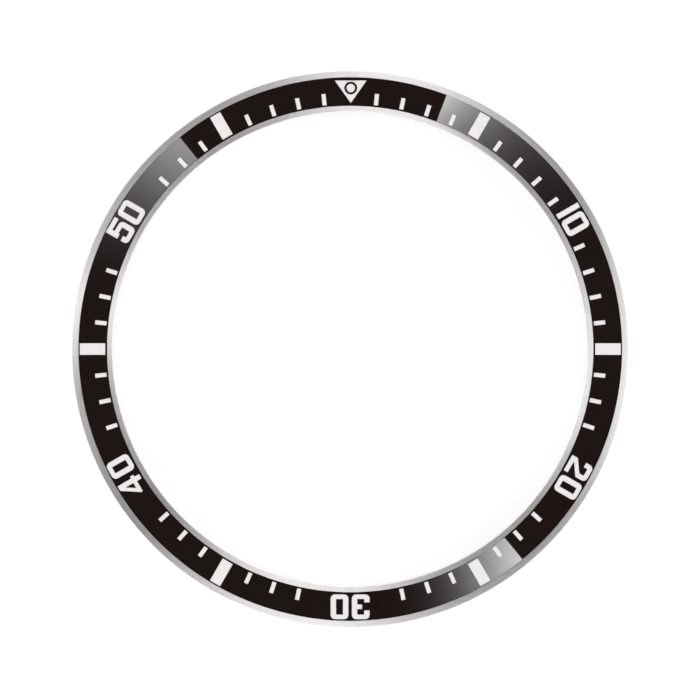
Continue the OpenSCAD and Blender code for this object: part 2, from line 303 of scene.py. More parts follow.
class Plan:
    """The sizes and looks, and the radii and heights that follow from them."""

    def __init__(self, scene):
        body, scale = scene.bezel_body, scene.bezel_scale
        self.body, self.scale, self.digits = body, scale, scene.bezel_digits
        self.looks = scene.bezel_finishes
        self.channel_in = body.window_radius + body.inner_rim
        self.channel_out = self.channel_in + body.channel
        self.bore = body.ring_radius - body.skirt
        self.insert_in = self.channel_in + scale.fit
        self.insert_out = self.channel_out - scale.fit
        self.mark_in = self.channel_in + scale.foot_gap
        self.mark_out = self.channel_out - scale.head_gap
        self.floor_z = body.skirt_height + body.flange
        self.insert_z = self.floor_z + scale.tape
        self.slope = math.tan(scale.slope)
        self.edge_z = self.insert_z + scale.edge_thickness
        self.triangle_top = self.mark_out - scale.triangle_gap
        self.pip_y = self.triangle_top - scale.pip_drop
        self.digit_y = self.mark_in + self.digits.inset
        self.digit_height = self.mark_out - self.digits.inset - self.digit_y
        self.tape_in = body.window_radius + body.tape_step

    def face(self, radius):
        """Height of the scale's sloping face at a radius."""
        return self.edge_z + (self.insert_out - radius) * self.slope

    def numeral(self, tens):
        """From a numeral's left edge to its zero, and its whole width."""
        digits = self.digits
        widths = {1: digits.one_width, 2: digits.two_width, 4: digits.four_width}
        to_zero = widths.get(tens, digits.width) + (digits.gap + digits.kerns[tens - 1])
        return to_zero, to_zero + digits.width

    def has_tick(self, minute):
        """Whether a minute tick stands here, clear of the numerals."""
        if minute % MARK_STEP == 0:
            return False
        for tens in TENS:
            turn = math.radians(abs(minute - NUMERAL_STEP * tens) * 360 / MINUTES / 2)
            taken = (self.numeral(tens)[1] + self.scale.tick_width) / 2
            if 2 * self.mark_in * math.sin(turn) - taken <= self.scale.tick_clear:
                return False
        return True

    def marks(self, kind):
        """Minutes, width and length of the ticks or the bars."""
        scale = self.scale
        if kind == "tick":
            minutes = [minute for minute in range(1, MINUTES) if self.has_tick(minute)]
            return minutes, scale.tick_width, scale.tick_length
        return BAR_MINUTES, scale.bar_width, self.mark_out - self.mark_in


class Graph:
    """Short calls that build a node tree from left to right."""

    def __init__(self, tree):
        self.tree = tree
        self.made = 0

    def add(self, kind, inputs=None, **settings):
        node = self.tree.nodes.new(kind)
        row, column = divmod(self.made, NODES_A_ROW)
        node.location = (NODE_WIDE * column, -NODE_HIGH * row)
        self.made += 1
        for name, value in settings.items():
            setattr(node, name, value)
        for name, value in (inputs or {}).items():
            self.feed(node.inputs[name], value)
        return node

    def out(self, kind, inputs=None, **settings):
        """The first output of a new node."""
        return self.add(kind, inputs, **settings).outputs[0]

    def feed(self, socket, value):
        if isinstance(value, bpy.types.NodeSocket):
            self.tree.links.new(value, socket)
        else:
            socket.default_value = value

    def math(self, operation, *values):
        return self.out("ShaderNodeMath", dict(enumerate(values)), operation=operation)

    def total(self, first, *others):
        for other in others:
            first = self.math("ADD", first, other)
        return first

    def product(self, first, *others):
        for other in others:
            first = self.math("MULTIPLY", first, other)
        return first

    def minus(self, first, second):
        return self.math("SUBTRACT", first, second)

    def over(self, first, second):
        return self.math("DIVIDE", first, second)

    def xyz(self, **parts):
        return self.out("ShaderNodeCombineXYZ", parts)

    def split(self, vector):
        return self.add("ShaderNodeSeparateXYZ", {"Vector": vector}).outputs

    def reach(self, vector):
        """A vector's length."""
        return self.add("ShaderNodeVectorMath", {0: vector}, operation="LENGTH").outputs["Value"]

    def spread(self, value, low, high, to_low=0.0, to_high=1.0, curve="LINEAR"):
        """A value carried from one range to another."""
        names = ("Value", "From Min", "From Max", "To Min", "To Max")
        inputs = dict(zip(names, (value, low, high, to_low, to_high)))
        return self.out("ShaderNodeMapRange", inputs, interpolation_type=curve)

    def blend(self, factor, first, second):
        """A colour between two others, by the mixing node's sockets for colours."""
        inputs = {0: factor, 6: first, 7: second}
        return self.add("ShaderNodeMix", inputs, data_type="RGBA").outputs[2]

    def two_tone(self, factor, values, dark, light):
        """A colour that goes from a darker to a lighter level of itself."""
        return self.blend(factor, rgba(values, dark), rgba(values, light))

    def noise(self, vector, scale, detail=2.0, rough=0.5, w=None):
        inputs = {"Vector": vector, "Scale": scale, "Detail": detail, "Roughness": rough}
        if w is not None:
            inputs["W"] = w
        return self.out("ShaderNodeTexNoise", inputs, noise_dimensions="3D" if w is None else "4D")

    def bump(self, height, strength, distance):
        inputs = {"Strength": strength, "Distance": distance, "Height": height}
        return self.out("ShaderNodeBump", inputs)

    def attribute(self, name):
        return self.add("ShaderNodeAttribute", attribute_name=name).outputs["Fac"]

    def diffuse(self, tone):
        return self.out("ShaderNodeBsdfDiffuse", {"Color": (tone, tone, tone, 1.0)})

    def glow(self, strength):
        return self.out("ShaderNodeEmission", {"Color": WHITE_LIGHT, "Strength": strength})

    def either(self, factor, first, second):
        """The first shader, or the second as the factor rises to one."""
        return self.out("ShaderNodeMixShader", {0: factor, 1: first, 2: second})


def rgba(values, level=1.0):
    return (*(min(1.0, value * level) for value in values), 1.0)


def new_material(name):
    """A material with its graph, its shader and its Object coordinates."""
    material = bpy.data.materials.new(name)
    material.use_nodes = True
    graph = Graph(material.node_tree)
    shader = material.node_tree.nodes["Principled BSDF"]
    place = graph.add("ShaderNodeTexCoord").outputs["Object"]
    return material, graph, shader, place


def coat(graph, shader, shade, rough, normal):
    """Feeds a shader what changes over the surface."""
    for name, value in (("Base Color", shade), ("Roughness", rough), ("Normal", normal)):
        graph.feed(shader.inputs[name], value)


def steel_material(looks):
    """Satin steel with fine grooves that run round the ring's axis."""
    material, graph, shader, place = new_material("turned_steel_detail")
    x, y, z = graph.split(place)
    squares = graph.total(graph.math("POWER", x, 2.0), graph.math("POWER", y, 2.0))
    radius = graph.math("SQRT", squares)

    def grooves(pitch, turns, detail):
        """Noise drawn out round the axis, with a pitch in metres."""
        vector = graph.xyz(
            X=graph.product(graph.over(x, radius), turns),
            Y=graph.product(graph.over(y, radius), turns),
            Z=graph.over(radius, pitch),
        )
        return graph.noise(vector, 1.0, detail, 0.55, w=graph.over(z, pitch))

    fine = grooves(pitch=0.045 * MM, turns=5.0, detail=3.0)
    broad = grooves(pitch=0.2 * MM, turns=3.0, detail=2.0)
    speck = graph.noise(place, scale=9000.0)
    sheen = graph.spread(graph.total(graph.product(fine, 0.6), graph.product(speck, 0.4)), *NOISE)
    shade = graph.two_tone(sheen, looks.steel, 0.9, 1.07)
    rough = graph.spread(broad, *NOISE, looks.steel_rough - 0.05, looks.steel_rough + 0.05)
    coat(graph, shader, shade, rough, graph.bump(fine, 0.5, 0.0008 * MM))
    shader.inputs["Metallic"].default_value = 1.0
    shader.inputs["Anisotropic"].default_value = looks.steel_grain
    # A quarter turn lays the stretched highlight across the grooves
    shader.inputs["Anisotropic Rotation"].default_value = 0.25
    tangent = graph.out("ShaderNodeTangent", direction_type="RADIAL", axis="Z")
    graph.feed(shader.inputs["Tangent"], tangent)
    return material


def black_material(looks):
    """Gloss black lacquer, nearly smooth, with a faint warm and cool drift."""
    material, graph, shader, place = new_material("gloss_black_detail")
    drift = graph.spread(graph.noise(place, scale=500.0), 0.35, 0.65)
    red, green, blue = looks.black
    warm, cool = (red * 1.1, green * 0.9, blue * 0.95), (red * 0.9, green * 1.1, blue * 1.05)
    haze = graph.noise(place, scale=2500.0, detail=3.0)
    rough = graph.spread(haze, *NOISE, looks.black_rough * 0.7, looks.black_rough * 1.3)
    shade = graph.blend(drift, rgba(warm), rgba(cool))
    coat(graph, shader, shade, rough, graph.bump(haze, 0.3, 0.0001 * MM))
    return material


def white_material(looks):
    """Satin white enamel with a fine grain."""
    material, graph, shader, place = new_material("white_enamel_detail")
    grain = graph.noise(place, scale=12000.0)
    patch = graph.noise(place, scale=1800.0)
    shade = graph.spread(graph.total(grain, patch), *TWO_NOISES)
    rough = graph.spread(grain, *NOISE, looks.white_rough - 0.06, looks.white_rough + 0.06)
    tone = graph.two_tone(shade, looks.white, 0.965, 1.03)
    coat(graph, shader, tone, rough, graph.bump(grain, 0.4, 0.001 * MM))
    return material


def foam_material(looks):
    """Matte acrylic foam with closed cells."""
    material, graph, shader, place = new_material("adhesive_foam_detail")
    cells = graph.out("ShaderNodeTexVoronoi", {"Vector": place, "Scale": 14000.0})
    cloud = graph.noise(place, scale=900.0, detail=3.0)
    shade = graph.spread(graph.total(graph.product(cells, 0.5), cloud), 0.4, 1.0)
    rough = graph.spread(cells, 0.0, 0.7, 0.78, 0.95)
    tone = graph.two_tone(shade, looks.foam, 0.75, 1.3)
    coat(graph, shader, tone, rough, graph.bump(cells, 0.6, 0.008 * MM))
    return material


def film_material(looks):
    """Waxed paper film with short fibres."""
    material, graph, shader, place = new_material("liner_film_detail")
    drawn = graph.out("ShaderNodeMapping", {"Vector": place, "Scale": (1.0, 0.22, 1.0)})
    fibre = graph.noise(drawn, scale=5000.0, detail=4.0, rough=0.65)
    cloud = graph.noise(place, scale=350.0)
    shade = graph.spread(graph.total(fibre, cloud), *TWO_NOISES)
    rough = graph.spread(fibre, *NOISE, 0.38, 0.55)
    tone = graph.two_tone(shade, looks.film, 0.86, 1.1)
    coat(graph, shader, tone, rough, graph.bump(fibre, 0.5, 0.002 * MM))
    return material


MAKERS = {
    "turned_steel": steel_material,
    "gloss_black": black_material,
    "white_enamel": white_material,
    "adhesive_foam": foam_material,
    "liner_film": film_material,
}


def finish(plan, slot):
    """The detailed material for a slot, made at its first use."""
    return bpy.data.materials.get(f"{slot}_detail") or MAKERS[slot](plan.looks)


def node_tree(name, **inputs):
    """A Geometry Nodes tree with its graph and its inputs, which are named by kind."""
    tree = bpy.data.node_groups.new(name, "GeometryNodeTree")
    tree.interface.new_socket("Geometry", in_out="OUTPUT", socket_type="NodeSocketGeometry")
    kinds = {"Geometry": ["Geometry"], **inputs, "Material": ["Finish"]}
    for kind, titles in kinds.items():
        for title in titles:
            tree.interface.new_socket(title, in_out="INPUT", socket_type=f"NodeSocket{kind}")
    graph = Graph(tree)
    return tree, graph, graph.add("NodeGroupInput").outputs


def close_tree(graph, geometry, material):
    """Puts one material on the geometry and ends the tree with it."""
    inputs = {"Geometry": geometry, "Material": material}
    dressed = graph.out("GeometryNodeSetMaterial", inputs)
    graph.add("NodeGroupOutput", {"Geometry": dressed})


def turning_tree(name):
    """Carries a section's outline round the Z axis, with each corner rounded as it asks."""
    tree, graph, given = node_tree(name, Float=["Path radius"], Int=["Segments", "Round steps"])
    outline = graph.out("GeometryNodeMeshToCurve", {"Mesh": given["Geometry"]})
    corner = graph.out("GeometryNodeInputNamedAttribute", {"Name": "round"}, data_type="FLOAT")
    rounded = graph.out(
        "GeometryNodeFilletCurve",
        {"Curve": outline, "Count": given["Round steps"], "Radius": corner},
        mode="POLY",
    )
    path = graph.out(
        "GeometryNodeCurvePrimitiveCircle",
        {"Resolution": given["Segments"], "Radius": given["Path radius"]},
    )
    upright = graph.out("GeometryNodeSetCurveNormal", {"Curve": path}, mode="Z_UP")
    lathed = graph.out("GeometryNodeCurveToMesh", {"Curve": upright, "Profile Curve": rounded})
    real = graph.out("GeometryNodeRealizeInstances", {"Geometry": lathed})
    close_tree(graph, real, given["Finish"])
    return tree


def marks_tree(name):
    """Sets a block of enamel at each point of the ring and drapes it on the sloping face."""
    sizes = ["Width", "Length", "Depth", "Lift", "Soft edge"]
    slope = ["Face height at the axis", "Face fall"]
    tree, graph, given = node_tree(name, Float=sizes + slope)
    wide, long, soft = given["Width"], given["Length"], given["Soft edge"]
    block = graph.out(
        "GeometryNodeMeshCube",
        {
            "Size": graph.xyz(X=wide, Y=long, Z=1.0),
            "Vertices X": BLOCK_ACROSS,
            "Vertices Y": BLOCK_ALONG,
            "Vertices Z": BLOCK_LAYERS,
        },
    )
    x, y, z = graph.split(graph.out("GeometryNodeInputPosition"))
    # Layer 0 is the foot, the last is the top's holding layer, and the rest round the edge
    top_layer = BLOCK_LAYERS - 1.0
    layer = graph.math("ROUND", graph.product(graph.total(z, 0.5), top_layer))
    turn = graph.spread(layer, 1.0, top_layer - 1.0, 0.0, math.pi / 2)
    hold = graph.spread(layer, top_layer - 1.0, top_layer, 0.0, HOLD_SHARE)
    inset = graph.product(graph.minus(graph.total(1.0, hold), graph.math("COSINE", turn)), soft)
    drop = graph.product(graph.minus(1.0, graph.math("SINE", turn)), soft)
    at_foot = graph.math("LESS_THAN", layer, 0.5)
    foot = graph.product(at_foot, graph.product(given["Depth"], -1.0))
    above = graph.product(graph.minus(1.0, at_foot), graph.minus(given["Lift"], drop))

    def drawn_in(value, extent):
        """A plan coordinate pulled towards the middle by the inset."""
        taken = graph.over(graph.product(inset, 2.0), extent)
        return graph.product(value, graph.minus(1.0, taken))

    shape = graph.xyz(
        X=drawn_in(x, wide),
        Y=graph.total(drawn_in(y, long), graph.over(long, 2.0)),
        Z=graph.total(foot, above),
    )
    shaped = graph.out("GeometryNodeSetPosition", {"Geometry": block, "Position": shape})
    clockwise = graph.math("ARCTAN2", graph.product(x, -1.0), y)
    turned_by = graph.out("FunctionNodeEulerToRotation", {"Euler": graph.xyz(Z=clockwise)})
    placed = graph.out(
        "GeometryNodeInstanceOnPoints",
        {"Points": given["Geometry"], "Instance": shaped, "Rotation": turned_by},
    )
    real = graph.out("GeometryNodeRealizeInstances", {"Geometry": placed})
    fall = graph.product(graph.reach(graph.xyz(X=x, Y=y)), given["Face fall"])
    rise = graph.xyz(Z=graph.minus(given["Face height at the axis"], fall))
    draped = graph.out("GeometryNodeSetPosition", {"Geometry": real, "Offset": rise})
    close_tree(graph, draped, given["Finish"])
    return tree


TREES = {"turned_section": turning_tree, "marks_on_face": marks_tree}


def new_mesh(name, vertices, faces=(), edges=(), **attributes):
    """A mesh whose points carry the given attributes."""
    mesh = bpy.data.meshes.new(name)
    mesh.from_pydata(vertices, edges, faces)
    for key, values in attributes.items():
        mesh.attributes.new(key, "FLOAT", "POINT").data.foreach_set("value", values)
    return mesh


def put(name, data):
    """A new object in the scene."""
    thing = bpy.data.objects.new(name, data)
    bpy.context.scene.collection.objects.link(thing)
    return thing


def grow(name, seed, tree_name, values):
    """An object whose mesh is what a node tree makes of a seed mesh."""
    tree = bpy.data.node_groups.get(tree_name) or TREES[tree_name](tree_name)
    piece = put(name, seed)
    modifier = piece.modifiers.new(tree.name, "NODES")
    modifier.node_group = tree
    for item in tree.interface.items_tree:
        if item.in_out == "INPUT" and item.name in values:
            modifier[item.identifier] = values[item.name]
    settle(piece)
    dress(piece, values["Finish"])
    return piece


def dress(piece, material):
    """Leaves one material on all of a piece."""
    piece.data.materials.clear()
    piece.data.materials.append(material)
    piece.data.polygons.foreach_set("material_index", [0] * len(piece.data.polygons))


def settle(piece):
    """Turns an object's live modifiers into its own mesh."""
    layer = bpy.context.evaluated_depsgraph_get()
    made = bpy.data.meshes.new_from_object(piece.evaluated_get(layer), depsgraph=layer)
    piece.modifiers.clear()
    made.name = piece.name
    piece.data = made
    if not made.polygons:
        raise RuntimeError(f"{piece.name} came out empty")


def hand_over(piece, body, slot, *nodes, sharp=SHARP_ABOVE):
    """Smooths a finished piece and gives it to its body in place of its CAD nodes."""
    piece.data.shade_smooth()
    piece.data.set_sharp_from_angle(angle=math.radians(sharp))
    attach(piece, body)
    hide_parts(*nodes)


def with_neighbours(points):
    """The points of a loop, each between the one before and the one after it."""
    loop = [Vector(point[:2]) for point in points]
    return zip(loop[-1:] + loop[:-1], loop, loop[1:] + loop[:1])


def with_holding_points(corners):
    """The corners with a point just past each end of each rounded edge."""
    made = []
    for corner, (before, here, after) in zip(corners, with_neighbours(corners)):
        to_before, to_after = before - here, after - here
        turn = math.pi - to_before.angle(to_after)
        past = corner[2] * math.tan(turn / 2) + HOLD
        ways = (to_before.normalized(), to_after.normalized())
        first, last = ((*(here + way * past), 0.0) for way in ways)
        made += [first, corner, last] if corner[2] else [corner]
    return made


def turned(plan, name, slot, corners):
    """A ring turned from corners (radius, height, round) that run anticlockwise."""
    path = plan.body.window_radius
    corners = with_holding_points(corners)[::-1]
    points = [(radius - path, -height, 0.0) for radius, height, _ in corners]
    edges = [(i, (i + 1) % len(points)) for i in range(len(points))]
    section = new_mesh("section", points, edges=edges, round=[corner[2] for corner in corners])
    sizes = {
        "Path radius": path,
        "Segments": plan.body.segments,
        "Round steps": plan.body.round_steps,
        "Finish": finish(plan, slot),
    }
    return grow(name, section, "turned_section", sizes)


def turn_points(points, minute):
    """Plan points turned clockwise from twelve to a minute."""
    turn = -math.radians(minute * 360 / MINUTES)
    cos, sin = math.cos(turn), math.sin(turn)
    return [(x * cos - y * sin, x * sin + y * cos) for x, y in points]


def arc(x, y, radius, start, end, steps=ARC_STEPS):
    """Points of an arc from one angle to another, in degrees."""
    made = []
    for i in range(steps + 1):
        at = math.radians(start + (end - start) * i / steps)
        made.append((x + radius * math.cos(at), y + radius * math.sin(at)))
    return made


def pip_circle(plan, radius):
    """An anticlockwise loop round the pip's centre."""
    return arc(plan.scale.triangle_shift, plan.pip_y, radius, 0, 360, CIRCLE_STEPS)[:-1]


def drawn_in_loop(points, inset):
    """A loop moved inwards, towards the side on its left."""
    if inset == 0:
        return points
    made = []
    for before, here, after in with_neighbours(points):
        one, two = (here - before).normalized(), (after - here).normalized()
        left_one, left_two = Vector((-one.y, one.x)), Vector((-two.y, two.x))
        reach = (left_one + left_two) / (1 + left_one.dot(left_two))
        made.append(tuple(here + reach * inset))
    return made


def sunk_shape(plan, loops, depth, lift, soft=0.0):
    """Vertices and faces of a solid under a plan outline, draped on the sloping face.

    The first loop runs anticlockwise and holes run clockwise. The top edge is rounded by soft.
    """
    layers = [(-depth, 0.0)]
    if soft:
        for i in range(SOFT_STEPS + 1):
            at = math.pi / 2 * i / SOFT_STEPS
            layers.append((lift - soft * (1 - math.sin(at)), soft * (1 - math.cos(at))))
    layers.append((lift, soft * (1 + HOLD_SHARE)))
    vertices, faces = [], []
    total = sum(len(loop) for loop in loops)
    for height, inset in layers:
        for loop in loops:
            for x, y in drawn_in_loop(loop, inset):
                vertices.append((x, y, plan.face(math.hypot(x, y)) + height))
    for level in range(len(layers) - 1):
        start = level * total
        for loop in loops:
            count = len(loop)
            for i in range(count):
                a, b = start + i, start + (i + 1) % count
                faces.append((a, b, b + total, a + total))
            start += count
    flat = [[Vector((x, y, 0.0)) for x, y in loop] for loop in loops]
    top = (len(layers) - 1) * total
    points = [point for loop in flat for point in loop]
    for a, b, c in tessellate_polygon(flat):
        if (points[b] - points[a]).cross(points[c] - points[a]).z < 0:
            b, c = c, b
        faces += [(top + a, top + b, top + c), (c, b, a)]
    return vertices, faces


def spun_shape(plan, profile):
    """Vertices and faces of a shape turned about the upright axis through the pip's centre.

    The profile's (radius, height above the sloping face) points start and end on that axis,
    from the bottom up.
    """
    vertices, rows = [], []
    for radius, height in profile:
        ring = pip_circle(plan, radius) if radius else [(plan.scale.triangle_shift, plan.pip_y)]
        rows.append([len(vertices) + i for i in range(len(ring))])
        vertices += [(x, y, plan.face(math.hypot(x, y)) + height) for x, y in ring]
    faces = []
    for low, high in zip(rows, rows[1:]):
        for i in range(CIRCLE_STEPS):
            k = (i + 1) % CIRCLE_STEPS
            if len(low) == 1:
                faces.append((low[0], high[k], high[i]))
            elif len(high) == 1:
                faces.append((low[i], low[k], high[0]))
            else:
                faces.append((low[i], low[k], high[k], high[i]))
    return vertices, faces


def shape_object(plan, name, slot, *shapes):
    """One object from several (vertices, faces) shapes."""
    vertices, faces = [], []
    for points, polygons in shapes:
        shift = len(vertices)
        vertices += points
        faces += [tuple(i + shift for i in polygon) for polygon in polygons]
    mesh = new_mesh(name, vertices, faces)
    mesh.materials.append(finish(plan, slot))
    mesh.validate()
    return put(name, mesh)


def bends(d, wide, high, *quarters):
    """A digit's rounded outer corners, each named by its quarter of the circle."""
    made = []
    for quarter in quarters:
        x = wide - d.corner if quarter in (0, 3) else d.corner
        y = high - d.corner if quarter in (0, 1) else d.corner
        made += arc(x, y, d.corner, 90 * quarter, 90 * quarter + 90)
    return made


def digit_zero(d, high):
    left, right, low, top = d.stem, d.width - d.stem, d.stroke, high - d.stroke
    counter = [(left, low), (left, top), (right, top), (right, low)]
    return [bends(d, d.width, high, 2, 3, 0, 1), counter]


def digit_one(d, high):
    return [[(0, 0), (d.one_width, 0), (d.one_width, high), (0, high)]]


def digit_two(d, high):
    wide, top = d.two_width, high - d.stroke
    hook = high - d.top_hook
    inner_bend = d.two_foot + d.two_bend - d.stroke
    outline = [(0, 0), (wide, 0), (wide, d.stroke), (d.thin_stem, d.stroke), (wide, d.two_bend)]
    outline += bends(d, wide, high, 0, 1)
    outline += [(0, hook), (d.thin_stem, hook), (d.thin_stem, top)]
    outline += [(wide - d.thin_stem, top), (wide - d.thin_stem, inner_bend), (0, d.two_foot)]
    return [outline]


def digit_three(d, high):
    wide, top = d.width, high - d.stroke
    hook = high - d.top_hook
    inside = wide - d.stem
    tab = inside - d.middle_tab
    tab_low, tab_high = (high - d.stroke) / 2, (high + d.stroke) / 2
    outline = bends(d, wide, high, 2, 3, 0, 1)
    outline += [(0, hook), (d.stem, hook), (d.stem, top), (inside, top)]
    outline += [(inside, tab_high), (tab, tab_high), (tab, tab_low), (inside, tab_low)]
    outline += [(inside, d.stroke), (d.stem, d.stroke), (d.stem, d.foot_hook), (0, d.foot_hook)]
    return [outline]


def digit_four(d, high):
    wide, bar = d.four_width, d.four_bar
    bar_top, tip = bar + d.four_level, bar + d.four_level / 2
    rise = (high - tip) / d.four_top
    left, right = d.four_stem, d.four_stem + d.thin_stem
    outline = [(left, 0), (right, 0), (right, bar), (wide, bar), (wide, bar_top), (right, bar_top)]
    outline += [(right, high), (d.four_top, high), (0, tip), (0, bar), (left, bar)]
    counter = (bar_top - tip) / rise + d.four_slant
    peak = tip + (left - d.four_slant) * rise
    return [outline, [(counter, bar_top), (left, peak), (left, bar_top)]]


def digit_five(d, high):
    wide, top, stem_end = d.width, high - d.stroke, high - d.five_stem
    bowl = top - d.five_slot
    inside, low = wide - d.stem, bowl - d.stroke
    outline = [(0, high), (0, stem_end), (d.stem, stem_end), (d.stem, low), (inside, low)]
    outline += [(inside, d.stroke), (d.stem, d.stroke), (d.stem, d.foot_hook), (0, d.foot_hook)]
    outline += bends(d, wide, bowl, 2, 3, 0)
    outline += [(d.stem, bowl), (d.stem, top), (wide, top), (wide, high)]
    return [outline]


TENS = {1: digit_one, 2: digit_two, 3: digit_three, 4: digit_four, 5: digit_five}


def numeral_loops(plan, tens):
    """Plan loops of a numeral's two digits, each digit's loops in a list of its own."""
    d, high = plan.digits, plan.digit_height
    to_zero, width = plan.numeral(tens)
    left = d.shifts[tens - 1] - width / 2
    made = []
    for loops, x0 in ((TENS[tens](d, high), left), (digit_zero(d, high), left + to_zero)):
        placed = [[(x + x0, y + plan.digit_y) for x, y in loop] for loop in loops]
        made.append([turn_points(loop, NUMERAL_STEP * tens) for loop in placed])
    return made


def triangle_loop(plan):
    half, top = plan.scale.triangle_width / 2, plan.triangle_top
    middle, tip = plan.scale.triangle_shift, plan.mark_in + plan.scale.tip_gap
    return [(middle + half, top), (middle - half, top), (middle, tip)]


def mark_blocks(plan, name, kind, lift, soft=0.0):
    """Blocks for the ticks or the bars, or for their pockets, made by one node tree."""
    minutes, width, long = plan.marks(kind)
    seats = [(x, y, 0.0) for m in minutes for x, y in turn_points([(0.0, plan.mark_in)], m)]
    sizes = {
        "Width": width,
        "Length": long,
        "Depth": plan.scale.pocket,
        "Lift": lift,
        "Soft edge": soft,
        "Face height at the axis": plan.face(0.0),
        "Face fall": plan.slope,
        "Finish": finish(plan, "white_enamel"),
    }
    return grow(name, new_mesh("seed", seats), "marks_on_face", sizes)


def enamel_blocks(plan, kind, *nodes):
    """Enamel in the pockets of the ticks or the bars, in place of its CAD nodes."""
    low, soft = -plan.scale.fill_below, plan.scale.soft_edge
    piece = mark_blocks(plan, f"enamel_{kind}s", kind, low, soft)
    hand_over(piece, RING, "white_enamel", *nodes)


def cut(piece, cutter):
    """Takes a cutter's shape out of a piece, and the cutter out of the scene."""
    modifier = piece.modifiers.new("pockets", "BOOLEAN")
    modifier.operation = "DIFFERENCE"
    modifier.solver = "MANIFOLD"
    modifier.object = cutter
    before = len(piece.data.polygons)
    settle(piece)
    if len(piece.data.polygons) <= before:
        raise RuntimeError(f"{cutter.name} cut nothing out of {piece.name}")
    bpy.data.objects.remove(cutter)


class BezelPart:
    """What the operators have in common"""

    bl_options = {"REGISTER", "UNDO"}


class BEZEL_OT_ring(BezelPart, bpy.types.Operator):
    """Turn the steel ring with its two rims, channel and skirt"""

    bl_idname = "bezel.ring"
    bl_label = "Turned ring"

    def execute(self, context):
        plan = Plan(context.scene)
        body = plan.body
        outside, window, foot = body.ring_radius, body.window_radius, body.foot_round
        outer_lip = plan.face(plan.channel_out) + body.rim_proud
        inner_lip = plan.face(plan.channel_in) + body.rim_proud
        fall = math.tan(body.rim_slope)
        corners = [
            (plan.bore, 0.0, foot),
            (outside, 0.0, foot),
            (outside, outer_lip - fall * (outside - plan.channel_out), body.outer_round),
            (plan.channel_out, outer_lip, body.lip_round),
            (plan.channel_out, plan.floor_z, 0.0),
            (plan.channel_in, plan.floor_z, 0.0),
            (plan.channel_in, inner_lip - fall * body.inner_rim, body.lip_round),
            (window, inner_lip, body.inner_round),
            (window, body.skirt_height, foot),
            (plan.bore, body.skirt_height, body.root_round),
        ]
        piece = turned(plan, "turned_ring", "turned_steel", corners)
        hand_over(piece, RING, "turned_steel", "ring_body")
        return {"FINISHED"}


class BEZEL_OT_insert(BezelPart, bpy.types.Operator):
    """Turn the gloss black scale insert and sink the pockets for its marks"""

    bl_idname = "bezel.insert"
    bl_label = "Scale insert"

    def execute(self, context):
        plan = Plan(context.scene)
        scale = plan.scale
        corners = [
            (plan.insert_in, plan.insert_z, 0.0),
            (plan.insert_out, plan.insert_z, 0.0),
            (plan.insert_out, plan.face(plan.insert_out), scale.edge_round),
            (plan.insert_in, plan.face(plan.insert_in), scale.edge_round),
        ]
        piece = turned(plan, "black_insert", "gloss_black", corners)
        for kind in ("tick", "bar"):
            cut(piece, mark_blocks(plan, f"{kind}_pockets", kind, CUTTER_ABOVE))
        outlines = [loops for tens in TENS for loops in numeral_loops(plan, tens)]
        outlines.append([triangle_loop(plan)])
        pockets = [sunk_shape(plan, loops, scale.pocket, CUTTER_ABOVE) for loops in outlines]
        hole = pip_circle(plan, scale.cup_radius)
        well = sunk_shape(plan, [hole], scale.cup_depth, CUTTER_ABOVE)
        for name, shapes in (("digit_pockets", pockets), ("cup_pocket", [well])):
            cut(piece, shape_object(plan, name, "gloss_black", *shapes))
        dress(piece, finish(plan, "gloss_black"))
        hand_over(piece, RING, "gloss_black", "scale_insert")
        return {"FINISHED"}


class BEZEL_OT_ticks(BezelPart, bpy.types.Operator):
    """Fill the pockets of the minute ticks with white enamel"""

    bl_idname = "bezel.ticks"
    bl_label = "Minute ticks"

    def execute(self, context):
        enamel_blocks(Plan(context.scene), "tick", "minute_ticks")
        return {"FINISHED"}


class BEZEL_OT_bars(BezelPart, bpy.types.Operator):
    """Fill the pockets of the six wide bars with white enamel"""

    bl_idname = "bezel.bars"
    bl_label = "Wide bars"

    def execute(self, context):
        nodes = (f"bar_{minute:02d}" for minute in BAR_MINUTES)
        enamel_blocks(Plan(context.scene), "bar", *nodes)
        return {"FINISHED"}


class BEZEL_OT_numerals(BezelPart, bpy.types.Operator):
    """Fill the pockets of the five numerals with white enamel"""

    bl_idname = "bezel.numerals"
    bl_label = "Numerals"

    def execute(self, context):
        plan = Plan(context.scene)
        depth, lift, soft = plan.scale.pocket, -plan.scale.fill_below, plan.scale.soft_edge
        for tens in TENS:
            loops = numeral_loops(plan, tens)
            shapes = [sunk_shape(plan, digit, depth, lift, soft) for digit in loops]
            node = f"numeral_{tens}0"
            piece = shape_object(plan, f"enamel_{node}", "white_enamel", *shapes)
            hand_over(piece, RING, "white_enamel", node)
        return {"FINISHED"}


